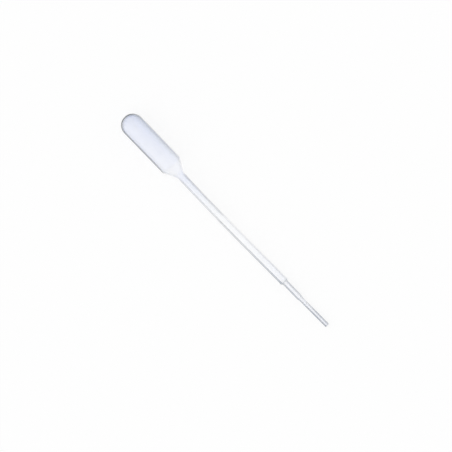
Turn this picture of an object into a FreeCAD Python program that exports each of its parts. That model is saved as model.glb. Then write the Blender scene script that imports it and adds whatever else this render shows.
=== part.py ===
"""One-piece dropper pipette, blow moulded in thin soft plastic.

A closed round bulb narrows through a conical neck to a long hollow stem. The stem
steps down twice, to an outlet and to a fine tip that is cut square and open.
The whole thing is one wall round one cavity, so it is drawn as a single section,
outside and inside, and turned about its axis. It lies as it comes to rest on a
table: on the shoulder of the bulb and on the rim of the tip.
"""

import FreeCAD, Part
import math
import os

from FreeCAD import Vector

# ---------------------------------------------------------------------------
# Driving dimensions, in millimetres
# ---------------------------------------------------------------------------

# Lengths along the axis, in order from the closed end of the bulb to the open tip
bulb_length = 34.3          # closed end to shoulder, dome included
neck_length = 7.5           # cone between bulb and stem
upper_stem_length = 28.7    # slimmer part of the stem, next to the neck
flare_length = 1.0          # where the stem widens
lower_stem_length = 45.4    # long plain part of the stem
lip_length = 1.2            # faint flare that ends the stem in a raised lip
step_length = 0.8           # cone from the lip down to the outlet
outlet_length = 10.6        # first, wider part of the outlet
taper_length = 1.6          # cone from the outlet down to the tip
tip_length = 18.9           # fine tip, up to its cut end

# Outside radii
bulb_radius = 6.0
upper_stem_radius = 2.05
lower_stem_radius = 2.15
lip_height = 0.1            # how far the lip stands out of the stem
outlet_radius = 1.45
tip_radius = 1.1

# Walls
bulb_wall = 0.4             # stretched thinnest by blowing
weld_thickness = 0.8        # closed end, where the mould pinches the tube shut
stem_wall = 0.5
outlet_wall = 0.5
tip_wall = 0.45

# Outside rounds; a round of the cavity differs from its neighbour by the wall
shoulder_round = 1.0
neck_round = 1.2
flare_round = 4.0
lip_round = 0.25
step_round = 0.35
taper_round = 1.0
cavity_round_least = 0.1    # what is left where a wall is as thick as the round outside it

# Where the turned surface starts, in degrees round the axis from the line it rests on:
# half a facet, so that a faceted copy rests on a flat and not on an edge
seam_angle = 4.1

# ---------------------------------------------------------------------------
# Stations and slopes that follow from them
# ---------------------------------------------------------------------------

shoulder_x = bulb_length
neck_end_x = shoulder_x + neck_length
flare_x = neck_end_x + upper_stem_length
lower_stem_x = flare_x + flare_length
lip_x = lower_stem_x + lower_stem_length
step_x = lip_x + lip_length
outlet_x = step_x + step_length
taper_x = outlet_x + outlet_length
tip_x = taper_x + taper_length
open_end_x = tip_x + tip_length

neck_slope = math.atan2(bulb_radius - upper_stem_radius, neck_length)
step_slope = math.atan2(lower_stem_radius - outlet_radius, step_length)
taper_slope = math.atan2(outlet_radius - tip_radius, taper_length)


# ---------------------------------------------------------------------------
# Section drawing: X runs along the axis, Z is the distance from it
# ---------------------------------------------------------------------------

def rounded_corner(before, corner, after, radius):
    """Start, middle, end and centre of the arc that is tangent to both runs at a corner."""
    back = (before - corner).normalize()
    ahead = (after - corner).normalize()
    half_angle = back.getAngle(ahead) / 2
    bisector = (back + ahead).normalize()
    reach = radius / math.tan(half_angle)
    centre = corner + bisector * (radius / math.sin(half_angle))
    return corner + back * reach, centre - bisector * radius, corner + ahead * reach, centre


def outline(start, corners, end):
    """Edges from start to end past (x, z, round) corners: straight runs joined by tangent arcs."""
    points = [start] + [Vector(x, 0, z) for x, z, _ in corners] + [end]
    edges = []
    here = start
    for i, (_, _, radius) in enumerate(corners, start=1):
        arc_start, arc_middle, arc_end, _ = rounded_corner(*points[i - 1:i + 2], radius)
        edges.append(Part.LineSegment(here, arc_start).toShape())
        edges.append(Part.Arc(arc_start, arc_middle, arc_end).toShape())
        here = arc_end
    edges.append(Part.LineSegment(here, end).toShape())
    return edges


def dome(pole_x, radius):
    """Quarter circle from the pole on the axis to the full radius, and its last point."""
    diagonal = radius * math.sqrt(0.5)
    edge_point = Vector(pole_x + radius, 0, radius)
    arc = Part.Arc(Vector(pole_x, 0, 0), Vector(pole_x + radius - diagonal, 0, diagonal), edge_point)
    return arc.toShape(), edge_point


def outer_corners():
    """Corners of the outside, from the bulb's shoulder to the tip."""
    return [
        (shoulder_x, bulb_radius, shoulder_round),
        (neck_end_x, upper_stem_radius, neck_round),
        (flare_x, upper_stem_radius, flare_round),
        (lower_stem_x, lower_stem_radius, flare_round),
        (lip_x, lower_stem_radius, flare_round),
        (step_x, lower_stem_radius + lip_height, lip_round),
        (outlet_x, outlet_radius, step_round),
        (taper_x, outlet_radius, taper_round),
        (tip_x, tip_radius, taper_round),
    ]


def cavity_corner(x, radius, slope, wall, outside_round, hollow):
    """Corner of the cavity, one wall in from an outside corner at the end of a slope.

    Moving a wall inwards moves its corner back by wall * tan(slope / 2). Where the
    outside corner is hollow, the cavity's round is larger than it by the wall, and
    where it stands out, smaller.
    """
    inside_round = outside_round + (wall if hollow else -wall)
    return x - wall * math.tan(slope / 2), radius - wall, max(inside_round, cavity_round_least)


def inner_corners():
    """Corners of the cavity, from the bulb's shoulder to the tip."""
    return [
        cavity_corner(shoulder_x, bulb_radius, neck_slope, bulb_wall, shoulder_round, False),
        cavity_corner(neck_end_x, upper_stem_radius, neck_slope, stem_wall, neck_round, True),
        (flare_x, upper_stem_radius - stem_wall, flare_round),
        (lower_stem_x, lower_stem_radius - stem_wall, flare_round),
        cavity_corner(step_x, lower_stem_radius, step_slope, stem_wall, step_round, False),
        cavity_corner(outlet_x, outlet_radius, step_slope, outlet_wall, step_round, True),
        cavity_corner(taper_x, outlet_radius, taper_slope, outlet_wall, taper_round, False),
        cavity_corner(tip_x, tip_radius, taper_slope, tip_wall, taper_round, True),
    ]


def make_pipette():
    """Closed section of the wall, turned about the axis into one hollow solid."""
    outer_dome, outer_start = dome(0, bulb_radius)
    inner_dome, inner_start = dome(weld_thickness, bulb_radius - bulb_wall)
    outer_end = Vector(open_end_x, 0, tip_radius)
    inner_end = Vector(open_end_x, 0, tip_radius - tip_wall)
    edges = [outer_dome] + outline(outer_start, outer_corners(), outer_end)
    edges.append(Part.LineSegment(outer_end, inner_end).toShape())
    edges += [inner_dome] + outline(inner_start, inner_corners(), inner_end)
    edges.append(Part.LineSegment(Vector(0, 0, 0), Vector(weld_thickness, 0, 0)).toShape())
    section = Part.Face(Part.Wire(Part.__sortEdges__(edges)))
    section.rotate(Vector(0, 0, 0), Vector(1, 0, 0), 180 - seam_angle)
    return section.revolve(Vector(0, 0, 0), Vector(1, 0, 0), 360)


# ---------------------------------------------------------------------------
# Resting pose
# ---------------------------------------------------------------------------

def resting_tilt():
    """Angle between the axis and the table, from the line that touches the shoulder and the tip.

    The line is tangent to the shoulder's round and passes through the rim of the tip,
    so it turns past the line of centres by asin(round / distance).
    """
    corners = [Vector(x, 0, z) for x, z, _ in outer_corners()[:2]]
    centre = rounded_corner(Vector(bulb_radius, 0, bulb_radius), *corners, shoulder_round)[3]
    rim = Vector(open_end_x, 0, tip_radius)
    fall = math.atan2(centre.z - rim.z, rim.x - centre.x)
    return fall + math.asin(shoulder_round / centre.distanceToPoint(rim))


def lay_down(shape, tilt):
    """Tip the open end down by the tilt, set the part on Z = 0 and centre its box in X."""
    low_x = bulb_radius * math.cos(tilt) - bulb_radius
    high_x = open_end_x * math.cos(tilt) + tip_radius * math.sin(tilt)
    lift = open_end_x * math.sin(tilt) + tip_radius * math.cos(tilt)
    shape.rotate(Vector(0, 0, 0), Vector(0, 1, 0), math.degrees(tilt))
    shape.translate(Vector(-(low_x + high_x) / 2, 0, lift))
    return shape


def main():
    os.makedirs("parts", exist_ok=True)
    tilt = resting_tilt()
    pipette = lay_down(make_pipette(), tilt)
    pipette.exportStep("parts/pipette.step")
    box = pipette.optimalBoundingBox(False)
    print(f"pipette: valid {pipette.isValid()}, solids {len(pipette.Solids)}, "
          f"volume {pipette.Volume:.1f} mm3, length {open_end_x:.1f} mm, "
          f"resting tilt {math.degrees(tilt):.3f} degrees")
    print(f"box: X {box.XMin:.3f} to {box.XMax:.3f}, Y {box.YMin:.3f} to {box.YMax:.3f}, "
          f"Z {box.ZMin:.4f} to {box.ZMax:.3f}")


main()
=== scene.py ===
# %% [markdown]
# # A one-piece dropper pipette
# This scene dresses one disposable dropper: a closed round bulb, a conical neck, and a long hollow
# stem that steps down twice to a fine open tip. The real one is blown from a single tube of soft
# polyethylene, so it has one wall round one cavity and nothing fitted to it.
#
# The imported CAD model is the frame: it gives the size, the place and the body to ride on. It could be
# shown with a new material, but its flat facets break up the dark lines that a clear wall shows along
# its edges. So the same wall is made again here as one smooth surface, and stands for it.

# %% Load the frame
import math

import bpy
import numpy as np
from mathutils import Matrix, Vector


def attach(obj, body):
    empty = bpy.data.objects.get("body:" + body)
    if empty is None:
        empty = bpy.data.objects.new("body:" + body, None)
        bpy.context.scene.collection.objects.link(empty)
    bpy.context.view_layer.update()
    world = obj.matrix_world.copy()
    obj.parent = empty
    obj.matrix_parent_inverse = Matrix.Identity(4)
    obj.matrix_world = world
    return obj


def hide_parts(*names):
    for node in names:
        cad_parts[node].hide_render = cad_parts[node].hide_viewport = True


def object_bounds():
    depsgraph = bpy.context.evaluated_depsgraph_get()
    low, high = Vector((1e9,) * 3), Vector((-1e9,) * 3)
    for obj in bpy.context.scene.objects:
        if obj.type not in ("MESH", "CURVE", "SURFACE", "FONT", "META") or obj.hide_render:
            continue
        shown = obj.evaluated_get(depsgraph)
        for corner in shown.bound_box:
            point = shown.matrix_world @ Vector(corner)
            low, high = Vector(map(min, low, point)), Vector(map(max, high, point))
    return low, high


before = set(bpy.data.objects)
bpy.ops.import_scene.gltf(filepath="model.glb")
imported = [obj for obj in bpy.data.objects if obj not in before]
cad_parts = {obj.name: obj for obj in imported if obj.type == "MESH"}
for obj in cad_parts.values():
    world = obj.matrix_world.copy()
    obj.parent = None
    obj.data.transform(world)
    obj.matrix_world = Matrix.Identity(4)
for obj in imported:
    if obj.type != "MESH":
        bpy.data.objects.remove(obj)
cad_low, cad_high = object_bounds()
print("CAD box in mm:", [round(value * 1000, 3) for value in (*cad_low, *cad_high)])

# %% [markdown]
# ## The section of the wall
# A blown dropper is round everywhere, so its whole shape is one drawing: how far the wall stands from
# the axis at each place along it. It could be a Bezier curve under a Screw modifier, but the runs are
# straight and each corner has its own round, so a formula says it more exactly: a rounded polyline.
# The cavity has corners of its own, one wall further in, because the wall is thin in the bulb, where
# it was blown out, and thick at the closed end, where the mould pinched the tube shut.
#
# Lengths are in millimetres, the unit a mould is drawn in. The mesh turns them to metres at the end.

# %% Corners of the outside and of the cavity
BULB_RADIUS = 6.0        # outside of the bulb
BULB_WALL = 0.4          # blown thin
WELD = 0.8               # wall at the closed end
OPEN_END = 150.0         # place of the cut end along the axis

# Each row is place along the axis, distance from it, and the round of the corner there.
OUTSIDE = np.array([
    (BULB_RADIUS, 6.00, 0.0), (34.3, 6.00, 1.0), (41.8, 2.05, 1.2), (70.5, 2.05, 4.0),
    (71.5, 2.15, 4.0), (116.9, 2.15, 4.0), (118.1, 2.25, 0.25), (118.9, 1.45, 0.35),
    (129.5, 1.45, 1.0), (131.1, 1.10, 1.0), (OPEN_END, 1.10, 0.0)])
CAVITY = np.array([
    (WELD + BULB_RADIUS - BULB_WALL, 5.60, 0.0), (34.20, 5.60, 0.6), (41.68, 1.55, 1.7),
    (70.5, 1.55, 4.0), (71.5, 1.65, 4.0), (117.91, 1.65, 0.1), (118.71, 0.95, 0.85),
    (129.45, 0.95, 0.5), (131.05, 0.65, 1.45), (OPEN_END, 0.65, 0.0)])
print(len(OUTSIDE), "corners outside,", len(CAVITY), "in the cavity")


# %% Rounded polyline and dome
def corner_arcs(corners):
    """Start, end, centre and bend of the arc at each inner corner of a polyline.
    Formula: a round touches both runs at round * tan(turn / 2) from the corner, and its centre lies
    one round from the first run, on the side that the line turns to."""
    x, z, rounds = corners.T
    slope = np.arctan2(np.diff(z), np.diff(x))
    before, after = slope[:-1], slope[1:]
    bend = np.sign(after - before)
    rounds = rounds[1:-1]
    reach = rounds * np.tan(np.abs(after - before) / 2)
    start = x[1:-1] - reach * np.cos(before)
    end = x[1:-1] + reach * np.cos(after)
    centre_x = start - rounds * bend * np.sin(before)
    centre_z = z[1:-1] - reach * np.sin(before) + rounds * bend * np.cos(before)
    return start, end, centre_x, centre_z, bend, rounds


def radius_at(u, corners, pole):
    """Distance from the axis at places u along it.
    Formula: inside the dome the circle sqrt(R^2 - (R - u)^2), inside a corner's arc the circle
    centre - bend * sqrt(round^2 - (u - centre)^2), and elsewhere the straight run."""
    start, end, centre_x, centre_z, bend, rounds = corner_arcs(corners)
    across = u[:, None] - centre_x
    arc = centre_z - bend * np.sqrt(np.maximum(rounds ** 2 - across ** 2, 0))
    inside = (u[:, None] > start) & (u[:, None] < end)
    run = np.interp(u, corners[:, 0], corners[:, 1])
    radius = np.where(inside.any(1), (arc * inside).sum(1), run)
    dome = corners[0, 1]
    left = np.clip(dome - (u - pole), 0, dome)
    return np.where(u < pole + dome, np.sqrt(dome ** 2 - left ** 2), radius)


parts = {"bulb": 20.0, "neck": 38.0, "stem": 90.0, "tip": 140.0}
part_places = np.array(list(parts.values()))
part_radii = radius_at(part_places, OUTSIDE, 0.0)
part_walls = part_radii - radius_at(part_places, CAVITY, WELD)
for part, radius, wall in zip(parts, part_radii, part_walls):
    print(f"{part}: {2 * radius:.2f} mm across, wall {wall:.2f} mm")


# %% Places of the rings
DOME_RINGS = 40          # rings over the closed end
ARC_RINGS = 9            # rings over each corner's arc
PLAIN_STEP = 1.5         # from ring to ring where the section is plain
LEAST_STEP = 0.05        # a ring nearer than this to the one before it is left out


def places_along(corners, pole):
    """Places along the axis for the rings of the mesh, close together where the section bends.
    Formula: equal angles over the dome, equal steps over each corner's arc, plain steps elsewhere."""
    start, end = corner_arcs(corners)[:2]
    dome = pole + corners[0, 1] * (1 - np.cos(np.linspace(0, np.pi / 2, DOME_RINGS)))
    arcs = start + (end - start) * np.linspace(0, 1, ARC_RINGS)[:, None]
    plain = np.arange(dome[-1], OPEN_END, PLAIN_STEP)
    u = np.unique(np.concatenate([dome, arcs.ravel(), plain]))
    return u[np.diff(u, prepend=-1) > LEAST_STEP]


outside_u = places_along(OUTSIDE, 0.0)
cavity_u = places_along(CAVITY, WELD)
print(len(outside_u), "rings outside,", len(cavity_u), "in the cavity")

# %% [markdown]
# ## One closed skin
# The outside, the cut end and the cavity are one unbroken skin, like a sock turned half inside out:
# it starts at the pole of the bulb, runs out to the tip, folds over the cut end and comes back inside
# to the pole of the cavity. It could be an open tube with a Solidify modifier, but that gives every
# place the same wall. The knife that trims the tip leaves a hair of a round on both of its edges.

# %% The line that the skin follows
CUT_ROUND = 0.07         # round on the edges of the cut end
CUT_RINGS = 5            # rings over each of those rounds
TRIMMED = OPEN_END - 2 * CUT_ROUND       # the sections are followed up to here


def skin_line():
    """Place along the axis, distance from it, and 0 outside or 1 inside, from the outer pole over
    the cut end to the inner pole. Formula: outside section, a quarter circle out to the cut, a
    quarter circle into the bore, and the cavity's section read backwards."""
    quarter = np.linspace(0, np.pi / 2, CUT_RINGS)
    rise, fall = 1 - np.sin(quarter), 1 - np.cos(quarter)
    outer_edge = OPEN_END - CUT_ROUND * rise, OUTSIDE[-1, 1] - CUT_ROUND * fall
    inner_edge = OPEN_END - CUT_ROUND * fall, CAVITY[-1, 1] + CUT_ROUND * rise
    out_u = outside_u[outside_u < TRIMMED]
    in_u = cavity_u[cavity_u < TRIMMED][::-1]
    u = np.concatenate([out_u, outer_edge[0], inner_edge[0], in_u])
    r = np.concatenate([radius_at(out_u, OUTSIDE, 0.0), outer_edge[1],
                        inner_edge[1], radius_at(in_u, CAVITY, WELD)])
    side = np.repeat([0.0, 1.0], [len(out_u) + CUT_RINGS, len(in_u) + CUT_RINGS])
    return u, r, side


line_u, line_r, line_inside = skin_line()
print(len(line_u), "rings in the whole skin")

# %% [markdown]
# ## How it lies
# A pipette can't stand. It comes to rest on the shoulder of its bulb and the rim of its tip, with its
# axis a little off level. The angle could be read from the CAD model's box, but the line that touches
# both is plain geometry, so it is worked out here as it is for the CAD.

# %% Where the axis lies
def resting_tilt():
    """Angle of the axis below level, from the line under the shoulder and the rim of the tip.
    Formula: the fall from the shoulder's centre to the rim, plus asin(round / distance)."""
    _, _, centre_x, centre_z, _, rounds = corner_arcs(OUTSIDE)
    reach = OPEN_END - centre_x[0], OUTSIDE[-1, 1] - centre_z[0]
    return math.atan2(-reach[1], reach[0]) + math.asin(rounds[0] / math.hypot(*reach))


tilt = resting_tilt()
axis = np.array([math.cos(tilt), 0, -math.sin(tilt)])
sideways = np.array([0.0, 1.0, 0.0])
upward = np.array([math.sin(tilt), 0, math.cos(tilt)])
rim_x = OPEN_END * math.cos(tilt) + OUTSIDE[-1, 1] * math.sin(tilt)
pole = np.array([cad_high[0] * 1000 - rim_x, 0,
                 OPEN_END * math.sin(tilt) + OUTSIDE[-1, 1] * math.cos(tilt)])
print("tilt %.3f degrees, pole of the bulb at" % math.degrees(tilt), pole.round(3))

# %% [markdown]
# ## What the mould leaves
# A perfect turned shape looks like glass. A blown one shows how it was made. The two halves of the
# mould leave a faint parting line down both sides, which runs over the closed end as a small pinched
# ridge. The air that blew the bulb stretches its wall a little unevenly. And a thin stem sets slightly
# bowed as it cools. These could be dents pushed into a finished mesh, but each is a short formula of
# the place along the axis and the angle round it, so they are added to the points themselves.

# %% Parting line, uneven wall and bow
PARTING_HEIGHT = 0.03    # how far the parting line stands out of the wall
PARTING_WIDTH = 0.13     # half of its width
PINCH_HEIGHT = 0.05      # how much higher it is on the closed end
PINCH_LENGTH = 1.6       # how far along the axis the pinched ridge reaches
WIDE_WAVE = 0.035        # height of the wave with two crests round the cavity
WIDE_DRIFT = 0.05        # how far its crests turn round the axis, in radians per millimetre
NARROW_WAVE = 0.02       # height of the wave with three crests
NARROW_DRIFT = -0.11     # these turn the other way
NARROW_START = 1.0       # where they start, in radians
STEM_SHARE = 0.3         # share of both waves outside the bulb
BULB_END, STEM_END = 40.0, 118.0
WAVE_FADE = 8.0          # how far before those places the waves start to fade
WELD_FADE = 3.0          # how far from the closed end they are whole
BOW = 0.5                # how far the stem bows sideways
BOW_START, BOW_END = 34.0, 118.0
BOW_LEAN = 0.8           # under 1 puts the widest place of the bow nearer the bulb
TIP_SET = 0.22           # how far the end of the tip has set to the other side
TIP_START = 130.0
SOFT_START = 1.2         # over 1 lets the bow and the tip's set begin without a kink


def parting_line(u, height):
    """How far the parting line stands out of the outside.
    Formula: a bell curve of the height over the plane where the mould halves met, taller by
    another bell curve of the place along the axis near the closed end."""
    crest = PARTING_HEIGHT + PINCH_HEIGHT * np.exp(-(u / PINCH_LENGTH) ** 2)
    return crest * np.exp(-(height / PARTING_WIDTH) ** 2)


def uneven_wall(u, angle):
    """How far the cavity stands off its drawn section, as blowing leaves it.
    Formula: wide wave * cos(2 angle + drift u) + narrow wave * cos(3 angle + drift u + start), weaker
    outside the bulb and fading to nothing at the closed end and in the fine tip."""
    in_bulb = np.clip((BULB_END - u) / WAVE_FADE, 0, 1)
    fade = np.clip((u - WELD) / WELD_FADE, 0, 1) * np.clip((STEM_END - u) / WAVE_FADE, 0, 1)
    wide = WIDE_WAVE * np.cos(2 * angle + WIDE_DRIFT * u)
    narrow = NARROW_WAVE * np.cos(3 * angle + NARROW_DRIFT * u + NARROW_START)
    return (wide + narrow) * (STEM_SHARE + (1 - STEM_SHARE) * in_bulb) * fade


def bowed(u):
    """How far the axis lies to one side of a straight line.
    Formula: minus bow * sin(pi * x^lean)^soft, with x from 0 at the shoulder to 1 at the lip, plus
    the tip's set * y^soft, with y from 0 to 1 along the tip."""
    x = np.clip((u - BOW_START) / (BOW_END - BOW_START), 0, 1)
    y = np.clip((u - TIP_START) / (OPEN_END - TIP_START), 0, 1)
    wave = np.maximum(np.sin(np.pi * x ** BOW_LEAN), 0)
    return TIP_SET * y ** SOFT_START - BOW * wave ** SOFT_START


print("bow at its most %.2f mm" % -bowed(line_u).min())

# %% [markdown]
# ## Turn the line round the axis
# Each point of the line becomes a ring. The columns could be spaced evenly, but then the parting line,
# a quarter of a millimetre wide, would fall between two of them. So they crowd together where it runs
# and spread out above and below, where the shape is plain.

# %% Points of the skin
AROUND = 128             # columns round the axis
CROWDING = 0.40          # 0 is evenly spaced, 0.5 would put columns on top of each other


def column_angles():
    """Angles of the columns round the axis. Formula: t - crowding * sin(2 t), with t evenly spaced."""
    t = np.linspace(0, 2 * np.pi, AROUND, endpoint=False)
    return t - CROWDING * np.sin(2 * t)


def skin_points():
    """Points of the skin on a grid of rings and columns, in metres.
    Formula: pole + axis * u + sideways * bow + (sideways * cos(angle) + upward * sin(angle)) * radius,
    and then the parting line's height along the line's own normal, which is (-dr, du)."""
    u, angle = np.meshgrid(line_u, column_angles(), indexing="ij")
    inside = line_inside[:, None]
    r = line_r[:, None] + inside * uneven_wall(u, angle)
    along_u, along_r = np.gradient(line_u), np.gradient(line_r)
    length = np.hypot(along_u, along_r)
    ridge = (1 - inside) * parting_line(u, r * np.sin(angle)) * (u < TRIMMED)
    u = u - ridge * (along_r / length)[:, None]
    r = r + ridge * (along_u / length)[:, None]
    outwards = np.cos(angle)[..., None] * sideways + np.sin(angle)[..., None] * upward
    middle = pole + axis * u[..., None] + sideways * bowed(u)[..., None]
    return (middle + outwards * r[..., None]) / 1000


grid = skin_points()
print("grid of", grid.shape[0], "rings by", grid.shape[1], "columns")


# %% Faces of the skin
def skin_faces(rings):
    """Quads between neighbouring rings, and a fan of triangles at each pole, all facing outwards.
    Formula: ring i, column j is point i * AROUND + j, and columns wrap round."""
    point = np.arange(rings * AROUND).reshape(rings, AROUND)
    beside = np.roll(point, -1, axis=1)
    quads = np.stack([point[:-1], beside[:-1], beside[1:], point[1:]], axis=-1).reshape(-1, 4)
    outer_pole, inner_pole = rings * AROUND, rings * AROUND + 1
    outer_fan = np.stack([np.full(AROUND, outer_pole), beside[0], point[0]], axis=-1)
    inner_fan = np.stack([np.full(AROUND, inner_pole), point[-1], beside[-1]], axis=-1)
    return quads, outer_fan, inner_fan


quads, outer_fan, inner_fan = skin_faces(len(grid) - 2)
print(len(quads), "quads and", len(outer_fan) + len(inner_fan), "triangles at the poles")


# %% The mesh, with one finish outside and one in the cavity
def skin_mesh():
    """The whole skin as a mesh, with material 0 outside and 1 in the cavity.
    Formula: the first and last rings of the grid are single points, so each becomes a pole."""
    points = np.concatenate([grid[1:-1].reshape(-1, 3), grid[[0, -1], 0]])
    faces = quads.tolist() + outer_fan.tolist() + inner_fan.tolist()
    mesh = bpy.data.meshes.new("pipette_skin")
    mesh.from_pydata(points.tolist(), [], faces)
    in_cavity = np.repeat(line_inside[1:-2].astype(int), AROUND)
    finish = np.concatenate([in_cavity, np.repeat([0, 1], AROUND)])
    mesh.polygons.foreach_set("material_index", finish.astype(np.int32))
    mesh.polygons.foreach_set("use_smooth", np.ones(len(mesh.polygons), dtype=bool))
    mesh.update()
    return mesh


pipette = bpy.data.objects.new("dropper_pipette", skin_mesh())
bpy.context.scene.collection.objects.link(pipette)
print(len(pipette.data.polygons), "faces")


# %% Weigh it
def volume_of(mesh):
    """Volume inside a closed mesh in cubic millimetres, positive when its faces point outwards.
    Formula: a sixth of the sum of a . (b x c) over its triangles."""
    mesh.calc_loop_triangles()
    points = np.empty(len(mesh.vertices) * 3)
    mesh.vertices.foreach_get("co", points)
    corners = np.empty(len(mesh.loop_triangles) * 3, dtype=np.int32)
    mesh.loop_triangles.foreach_get("vertices", corners)
    a, b, c = points.reshape(-1, 3)[corners.reshape(-1, 3)].transpose(1, 0, 2)
    return (a * np.cross(b, c)).sum() / 6 * 1e9


DENSITY = 0.92           # of soft polyethylene, in mg per mm3
volume = volume_of(pipette.data)
print(f"{volume:.0f} mm3, {volume * DENSITY / 1000:.2f} g, {len(pipette.data.loop_triangles)} triangles")

# %% [markdown]
# ## Shader sums
# A finish is easier to read as a sum than as a web of nodes. This small class wraps the output of a
# node, so that writing `1 - haze * 0.3` adds the Math nodes for it.

# %% Sums on sockets
class Socket:
    """One output of a shader node. Operators on it add Math nodes to its tree."""

    def __init__(self, tree, output=None):
        self.tree, self.output = tree, output

    def node(self, kind, settings=(), values=(), out=0):
        """Adds a node: settings are set first, then its sockets' values or links."""
        made = self.tree.nodes.new("ShaderNode" + kind)
        for name, value in dict(settings).items():
            if name == "stops":
                ramp = made.color_ramp.elements
                ramp.remove(ramp[1])
                ramp[0].position, ramp[0].color = value[0]
                for place, colour in value[1:]:
                    ramp.new(place).color = colour
            else:
                setattr(made, name, value)
        for name, value in dict(values).items():
            if isinstance(value, Socket):
                self.tree.links.new(value.output, made.inputs[name])
            else:
                made.inputs[name].default_value = value
        return Socket(self.tree, made.outputs[out]) if len(made.outputs) else None

    def math(self, operation, *values):
        """Adds a Math node with these values or links."""
        return self.node("Math", {"operation": operation}, dict(enumerate(values)))

    def __add__(self, other):
        return self.math("ADD", self, other)

    def __sub__(self, other):
        return self.math("SUBTRACT", self, other)

    def __rsub__(self, other):
        return self.math("SUBTRACT", other, self)

    def __mul__(self, other):
        return self.math("MULTIPLY", self, other)

    def __truediv__(self, other):
        return self.math("DIVIDE", self, other)

    def __rtruediv__(self, other):
        return self.math("DIVIDE", other, self)

    def __pow__(self, other):
        return self.math("POWER", self, other)

    __radd__ = __add__

    def between(self, low, high):
        """0 below low, 1 above high, and smooth in between."""
        return self.node("MapRange", {"interpolation_type": "SMOOTHSTEP"},
                         {"Value": self, "From Min": low, "From Max": high})


def blank_material(name):
    """A material with no nodes, and the start of its sums."""
    material = bpy.data.materials.new(name)
    material.use_nodes = True
    material.node_tree.nodes.clear()
    return material, Socket(material.node_tree)


# %% [markdown]
# ## What soft polyethylene does to light
# The plastic is nearly clear, but fine crystals in it scatter some light, so it looks milky where it
# is thick and where a line of sight runs lengthways through the wall. Three things make its look:
#
# - **Haze**: a share of milk that grows with the slant, as the way through a wall does.
# - **Dark edges**: near the edge of a tube the wall bends light away, so a dark line runs there.
# - **Satin gloss**: the mould is sand-blasted, so highlights are wide and soft. The surface mirrors
#   little head on and much more along itself.
#
# It could be real refraction with a scattering volume. That needs many more samples to come clean in
# walls half a millimetre thick, and it casts a black shadow, because refraction stops lamp light. A
# mix of clear, milky and dark shaders, with Layer Weight for the slant, gives the same look without
# noise, and lets light through to the table.
#
# The mix changes along the piece, as the wall and the cooling do: the bulb is lavender and milky, the neck
# nearly clear, the stem slightly blue, the fine tip darker at its edges. A clear tube in a room also has one
# dark edge stronger than the other. The light here is too even for that, so the two sides of the piece have
# dark edges of their own strength, as painted shade. The bulb's left side also gets more and greyer milk as
# painted shade, and the right side gets less milk as painted light.

# %% How the plastic changes along the axis
# Rows are place along the axis and share of milk in one surface. The sharp peak at the step paints a shade
# line across it.
HAZE = [(0, 0.125), (6, 0.1), (24, 0.081), (34, 0.064), (36, 0.036), (39, 0.037), (43, 0.097), (56, 0.075),
        (70, 0.045), (73, 0.028), (112, 0.035), (117.6, 0.035), (118.2, 0.23), (118.6, 0.035), (130, 0.035),
        (133, 0.04), (149.4, 0.045), (149.7, 0.06)]
# More milk on the left side of the bulb: painted shade, which makes that side darker than the light alone
# does. Rows are place and that milk.
PAINTED_SHADE_MILK = [(0, 0.09), (10, 0.07), (34, 0.035), (38, 0.0)]
# How blue the milk is: 1 is the bulb's lavender. The grey at the step colours the painted shade line there.
LAVENDER = [(0, 1.0), (30, 1.0), (36, 1.0), (42, 1.0), (60, 0.5), (72, 0.35), (95, 0.5), (112, 0.9),
            (117.2, 0.9), (117.8, 0.0), (118.6, 0.0), (119.2, 1.0), (150, 1.0)]
# The dark edges differ from side to side as painted shade.
# Rows are place, then strength and sharpness of the dark edge on the right of someone who looks from
# the bulb to the tip, and then the same on the left.
DARK_EDGE = [
    (0, 45.0, 8.5, 40.0, 8.5), (1.5, 19.0, 8.7, 9.5, 6.5), (3, 12.0, 8.5, 1.7, 4.6),
    (8, 8.5, 9.0, 0.85, 4.0), (22, 8.5, 9.0, 0.55, 3.6), (30, 7.0, 9.0, 0.5, 3.6),
    (34, 3.5, 8.5, 0.5, 4.2), (35.5, 1.0, 10.0, 0.6, 8.0), (41, 0.6, 9.0, 0.4, 8.0),
    (43, 6.5, 7.2, 1.7, 3.4), (52, 3.0, 5.8, 1.6, 3.8), (69, 1.9, 4.6, 3.6, 5.4),
    (73, 1.6, 3.3, 1.0, 5.4), (95, 1.8, 3.3, 1.2, 5.4), (112, 3.5, 3.8, 1.8, 5.4),
    (116, 3.5, 3.7, 0.55, 3.4), (118, 4.0, 3.2, 0.45, 2.9), (118.6, 1.8, 3.0, 1.7, 3.0),
    (120, 2.2, 2.4, 2.0, 2.9), (130, 2.2, 2.4, 1.7, 2.9), (133, 3.0, 2.4, 0.95, 2.6),
    (141, 4.3, 2.4, 2.8, 2.6), (149.5, 4.3, 2.4, 3.0, 2.6), (149.9, 4.2, 0.9, 0.35, 1.0)]
# How far on each side of the middle the two sides blend into each other.
BLEND_HALF = [(0, 4.0), (34, 4.0), (42, 1.4), (118, 1.4), (119, 0.6), (150, 0.5)]
# How much of that edge each of the two surfaces of the wall shows. At the closed end the outside
# shows nearly all of it, so that the outline there is a single line.
OUTSIDE_SHARE = [(0, 0.9), (34, 0.8), (42, 0.65), (116, 0.65), (119, 0.8), (150, 0.8)]
CAVITY_SHARE = [(0, 0.05), (1.5, 0.1), (5, 1.0), (116, 1.0), (119, 0.8), (150, 0.8)]


def along(s, u, stops):
    """A number that changes along the axis: straight between stops of place and value. A ramp holds
    0 to 1, so the values go in as shares of the largest."""
    most = max(value for _, value in stops)
    shares = [(place / OPEN_END, (value / most,) * 3 + (1.0,)) for place, value in stops]
    return s.node("ValToRGB", {"stops": shares}, {"Fac": u / OPEN_END}) * most


print(len(HAZE), "stops of haze,", len(DARK_EDGE), "of dark edge")


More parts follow.
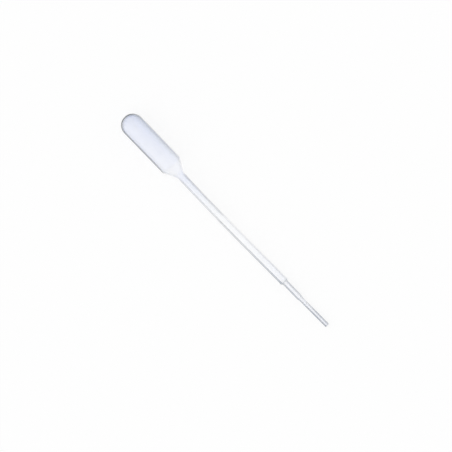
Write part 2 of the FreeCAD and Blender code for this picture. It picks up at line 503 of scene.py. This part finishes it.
# %% Where a point is on the piece
def own_coordinates(s):
    """Object coordinates turned so that X runs along the axis from the bulb's pole, in millimetres."""
    here = s.node("TexCoord", out="Object")
    return s.node("Mapping", {"vector_type": "TEXTURE"},
                  {"Vector": here, "Location": tuple(pole / 1000), "Rotation": (0, tilt, 0),
                   "Scale": (0.001, 0.001, 0.001)})


def left_side(s, u, y):
    """0 on the right of someone who looks from the bulb to the tip, 1 on the left, smooth between."""
    return (y / along(s, u, BLEND_HALF)).between(-1, 1)


# %% Haze
LAVENDER_MILK = (0.57, 0.67, 1.0, 1)
GREY_MILK = (0.76, 0.81, 0.88, 1)
THROUGH = 0.2            # share of the milk's light that comes through from behind
SLANT = 0.45             # how much of the longer way through a slanting wall counts
# Painted light: less milk on the right side, for a brighter band inside its dark edge.
PAINTED_LIGHT_SIDE = 0.25         # how much less milk the right side has
# Painted shade: extra milk darkens the bulb's left side between these two distances.
PAINTED_SHADE_FROM, PAINTED_SHADE_TO = 0.5, 6.0          # how far to the left the bulb's extra milk starts and is whole
# Painted shade: the milk turns grey on the bulb's left side.
PAINTED_GREY_FROM, PAINTED_GREY_TO = 2.0, 6.0            # how far to the left the milk starts to turn grey, and stops
PAINTED_GREYING = 0.6             # how much of its blue the milk loses there
CLOUD_SCALE = 0.25       # clouds per millimetre
CLOUD_DETAIL = 3.0
THINNEST_CLOUD, CLOUD_RANGE = 0.85, 0.3  # share of the milk in the thinnest cloud, and what a full one adds
print("milk in one surface of the bulb: %.0f%% head on, %.0f%% edge on"
      % (100 * HAZE[1][1], 100 * (1 - (1 - HAZE[1][1]) ** (1 / (1 - SLANT)))))


def haze_share(s, u, y, left, facing, cloud):
    """Share of milk in one surface. Formula: 1 - (1 - haze)^(1 / slant): what a slanting line of sight meets,
    with slow clouds in it, and more milk on the left than on the right, as painted shade on the left and
    painted light on the right."""
    # Extra milk on the bulb's left side, as painted shade.
    painted_shade = y.between(PAINTED_SHADE_FROM, PAINTED_SHADE_TO) * along(s, u, PAINTED_SHADE_MILK)
    # Less milk on the right side, as painted light.
    thin = 1 - (1 - left) ** 2 * PAINTED_LIGHT_SIDE
    haze = along(s, u, HAZE) * (THINNEST_CLOUD + cloud * CLOUD_RANGE) * thin + painted_shade
    slant = 1 - facing * SLANT
    return 1 - (1 - haze) ** (1 / slant)


def milk(s, u, y, rough, relief):
    """The scattered part: lit from the front and through the wall from behind, and turned grey on the bulb's
    left side as painted shade.
    """
    # Less blue on the bulb's left side, as painted shade.
    blue = along(s, u, LAVENDER) * (1 - y.between(PAINTED_GREY_FROM, PAINTED_GREY_TO) * PAINTED_GREYING)
    tint = s.node("Mix", {"data_type": "RGBA"}, {"Factor": blue, 6: GREY_MILK, 7: LAVENDER_MILK}, out=2)
    front = s.node("BsdfPrincipled", (), {"Base Color": tint, "Roughness": rough, "Normal": relief})
    lavender_glow = s.node("BsdfTranslucent", (), {"Color": LAVENDER_MILK})
    grey_glow = s.node("BsdfTranslucent", (), {"Color": GREY_MILK})
    behind = s.node("MixShader", (), {"Fac": blue, 1: grey_glow, 2: lavender_glow})
    return s.node("MixShader", (), {"Fac": THROUGH, 1: front, 2: behind})


# %% Dark edges
BULB_SHADE = (0.015, 0.03, 0.04, 1)
TIP_SHADE = (0.06, 0.10, 0.17, 1)
SHADE_ROUGHNESS, SHADE_GLOSS = 0.4, 0.2
BLUER_FROM, BLUER_TO = 40.0, 125.0       # the shade changes between these places
DARKEST = 0.97           # an edge never goes quite solid
print("edges set at", len(DARK_EDGE), "places")


def edge_share(s, u, left, facing, surface_share):
    """Share of the dark edge in one surface. Formula: strength * facing^sharpness, with facing 0
    head on and 1 edge on, and a smooth change from one side of the piece to the other."""
    columns = [along(s, u, [(row[0], row[i]) for row in DARK_EDGE]) for i in range(1, 5)]
    right_strength, right_sharpness, left_strength, left_sharpness = columns
    strength = right_strength + (left_strength - right_strength) * left
    sharpness = right_sharpness + (left_sharpness - right_sharpness) * left
    share = facing ** sharpness * strength * along(s, u, surface_share)
    return s.math("MINIMUM", share, DARKEST)


def edge_shade(s, u):
    """The dark of the edge, nearly black at the bulb and bluer in the thin tip."""
    shade = s.node("Mix", {"data_type": "RGBA"},
                   {"Factor": u.between(BLUER_FROM, BLUER_TO), 6: BULB_SHADE, 7: TIP_SHADE}, out=2)
    return s.node("BsdfPrincipled", (), {"Base Color": shade, "Roughness": SHADE_ROUGHNESS,
                                         "Specular IOR Level": SHADE_GLOSS})


# %% Satin gloss
GRAIN_SCALE = 1.6        # grains per millimetre
FLOW_SCALE = (0.035, 0.7, 0.7)           # flow lines per millimetre, along the axis and across it
FINE_DETAIL = 2.0
GRAIN_HEIGHT = 0.3       # beside a flow line's height of 1
RELIEF_STRENGTH = 0.25
RELIEF_DEPTH = 0.00006   # metres
SATIN = 0.22             # least roughness
GRAIN_ROUGHNESS, CLOUD_ROUGHNESS = 0.1, 0.06
MIRROR_HEAD_ON = 0.02    # share of light that the surface mirrors where it is seen head on
MIRROR_SLANTING = 0.3    # how much more it mirrors at a slant
MIRROR_EDGE_ON = 0.5     # and how much more still where it is seen almost edge on
print("mirrors %.0f%% head on" % (100 * MIRROR_HEAD_ON))


def satin(s, where, cloud):
    """Roughness and relief of the surface: a fine sand-blasted grain, and flow lines that the melt
    leaves lengthways. Formula: one noise of 0.6 mm grains and one stretched twentyfold along X."""
    grain = s.node("TexNoise", (), {"Vector": where, "Scale": GRAIN_SCALE, "Detail": FINE_DETAIL}, out="Fac")
    stretched = s.node("VectorMath", {"operation": "MULTIPLY"}, {0: where, 1: FLOW_SCALE})
    flow = s.node("TexNoise", (), {"Vector": stretched, "Scale": 1.0, "Detail": FINE_DETAIL}, out="Fac")
    relief = s.node("Bump", (), {"Height": grain * GRAIN_HEIGHT + flow, "Strength": RELIEF_STRENGTH,
                                 "Distance": RELIEF_DEPTH})
    return SATIN + grain * GRAIN_ROUGHNESS + cloud * CLOUD_ROUGHNESS, relief


def mirror_share(facing):
    """Share of light that the surface mirrors.
    Formula: head on + slanting * facing^5 + edge on * facing^12, so that it mirrors most along it."""
    return facing ** 5 * MIRROR_SLANTING + facing ** 12 * MIRROR_EDGE_ON + MIRROR_HEAD_ON


# %% The finish of each surface
def soft_polyethylene(name, surface_share):
    """The whole finish.
    Formula: clear, mixed with milk by its haze, with dark by its edge, and with gloss by its mirror."""
    material, s = blank_material(name)
    where = own_coordinates(s)
    u = s.node("SeparateXYZ", (), {"Vector": where}, out="X")
    y = s.node("SeparateXYZ", (), {"Vector": where}, out="Y")
    facing = s.node("LayerWeight", (), {"Blend": 0.5}, out="Facing")
    cloud = s.node("TexNoise", (), {"Vector": where, "Scale": CLOUD_SCALE, "Detail": CLOUD_DETAIL}, out="Fac")
    rough, relief = satin(s, where, cloud)
    clear = s.node("BsdfTransparent", (), {"Color": (1, 1, 1, 1)})
    left = left_side(s, u, y)
    body = s.node("MixShader", (), {"Fac": haze_share(s, u, y, left, facing, cloud),
                                    1: clear, 2: milk(s, u, y, rough, relief)})
    edged = s.node("MixShader", (), {"Fac": edge_share(s, u, left, facing, surface_share),
                                     1: body, 2: edge_shade(s, u)})
    gloss = s.node("BsdfGlossy", (), {"Color": (1, 1, 1, 1), "Roughness": rough, "Normal": relief})
    shader = s.node("MixShader", (), {"Fac": mirror_share(facing), 1: edged, 2: gloss})
    s.node("OutputMaterial", (), {"Surface": shader})
    return material


pipette.data.materials.append(soft_polyethylene("polyethylene_outside", OUTSIDE_SHARE))
pipette.data.materials.append(soft_polyethylene("polyethylene_cavity", CAVITY_SHARE))
print([(m.name, len(m.node_tree.nodes)) for m in pipette.data.materials])

# %% [markdown]
# ## Table and room
# Clear plastic shows best on plain white, where its edges are the darkest thing in sight. The table
# could be lit until it turns white, but the same lamps would bleach the plastic. So most of the
# table's white is its own, seen only by the camera, in reflections and through glass, and the rest is
# lit, which keeps a soft shadow. The room is the same: plain light for the plastic, and white where it
# is seen.

# %% What is seen
def seen_directly(s):
    """1 for a ray from the camera, or one that a gloss or glass sends on, and 0 for the rest."""
    camera, glossy, glass = (s.node("LightPath", out=f"Is {kind} Ray")
                             for kind in ("Camera", "Glossy", "Transmission"))
    return s.math("MAXIMUM", s.math("MAXIMUM", camera, glossy), glass)


# %% Table
TABLE_WHITE = (0.98, 0.98, 0.98, 1)
OWN_WHITE = 0.8          # share of the table's white that is its own
TABLE_HALF = 15.0        # metres, so that its edge is never in view


def white_table():
    """The table's finish: a lit white and an even white, mixed for rays that show it."""
    material, s = blank_material("white_table")
    lit = s.node("BsdfDiffuse", (), {"Color": TABLE_WHITE})
    even = s.node("Emission", (), {"Color": TABLE_WHITE, "Strength": 1.0})
    shader = s.node("MixShader", (), {"Fac": seen_directly(s) * OWN_WHITE, 1: lit, 2: even})
    s.node("OutputMaterial", (), {"Surface": shader})
    return material


table_corners = np.array([(-1, -1, 0), (1, -1, 0), (1, 1, 0), (-1, 1, 0)]) * TABLE_HALF
table_mesh = bpy.data.meshes.new("table_top")
table_mesh.from_pydata(table_corners.tolist(), [], [(0, 1, 2, 3)])
table_mesh.materials.append(white_table())
table = bpy.data.objects.new("table_top", table_mesh)
bpy.context.scene.collection.objects.link(table)
print("table", TABLE_HALF * 2, "m across")

# %% Room
ROOM_LIGHT = 0.7         # beside a white that shows as 1


def soft_room():
    """The world: plain light for the piece, and white where it is seen."""
    world = bpy.data.worlds.new("soft_room")
    world.use_nodes = True
    world.node_tree.nodes.clear()
    s = Socket(world.node_tree)
    light = s.node("Background", (), {"Color": (1, 1, 1, 1), "Strength": ROOM_LIGHT})
    white = s.node("Background", (), {"Color": (1, 1, 1, 1), "Strength": 1.0})
    shader = s.node("MixShader", (), {"Fac": seen_directly(s), 1: light, 2: white})
    s.node("OutputWorld", (), {"Surface": shader})
    return world


bpy.context.scene.world = soft_room()
print("room light", ROOM_LIGHT)

# %% [markdown]
# ## Light
# The room alone would light the piece from all sides alike and leave it flat. One large window adds
# the rest: it is wide, so that its shadow and its highlights have no edge, and it stands on the right
# of someone who looks from the bulb to the tip, which shades the left side of the bulb. Together they
# light a level surface at about 1, so colours show about as they are written.

# %% Window
WINDOW_STRENGTH = 1.5
WINDOW_WIDTH = math.radians(80)          # as seen from the piece
WINDOW_FROM = Vector((-0.45, -0.75, 1.0))

window_light = bpy.data.lights.new("window", "SUN")
window_light.energy, window_light.angle = WINDOW_STRENGTH, WINDOW_WIDTH
window = bpy.data.objects.new("window", window_light)
window.rotation_euler = WINDOW_FROM.to_track_quat("Z", "Y").to_euler()
bpy.context.scene.collection.objects.link(window)
print("window stands %.0f degrees up" % math.degrees(math.asin(WINDOW_FROM.normalized().z)))

# %% [markdown]
# ## Camera
# The piece is seen from straight above and runs from the top left of the picture to the bottom right.
# A long lens from far away keeps both ends at one scale. An orthographic camera would do the same
# here, but it shows no depth when the piece is seen along its length.

# %% Camera
VIEW_WIDTH = 0.2335      # metres of table across the picture
DISTANCE = 3.0           # metres over the table
TURN = math.radians(45.9)                # so that the piece runs aslant across the picture
LOOK_AT = (0.0017, -0.00161)             # metres: what is in the middle of the picture

camera_data = bpy.data.cameras.new("camera")
camera_data.lens = camera_data.sensor_width * DISTANCE / VIEW_WIDTH
camera = bpy.data.objects.new("camera", camera_data)
camera.location = (*LOOK_AT, DISTANCE)
camera.rotation_euler = (0, 0, TURN)
bpy.context.scene.collection.objects.link(camera)
bpy.context.scene.camera = camera
bpy.context.scene.view_settings.view_transform = "Standard"
print("lens %.0f mm" % camera_data.lens)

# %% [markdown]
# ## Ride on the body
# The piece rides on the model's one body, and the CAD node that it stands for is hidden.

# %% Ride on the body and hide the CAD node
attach(pipette, "root")
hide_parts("pipette")
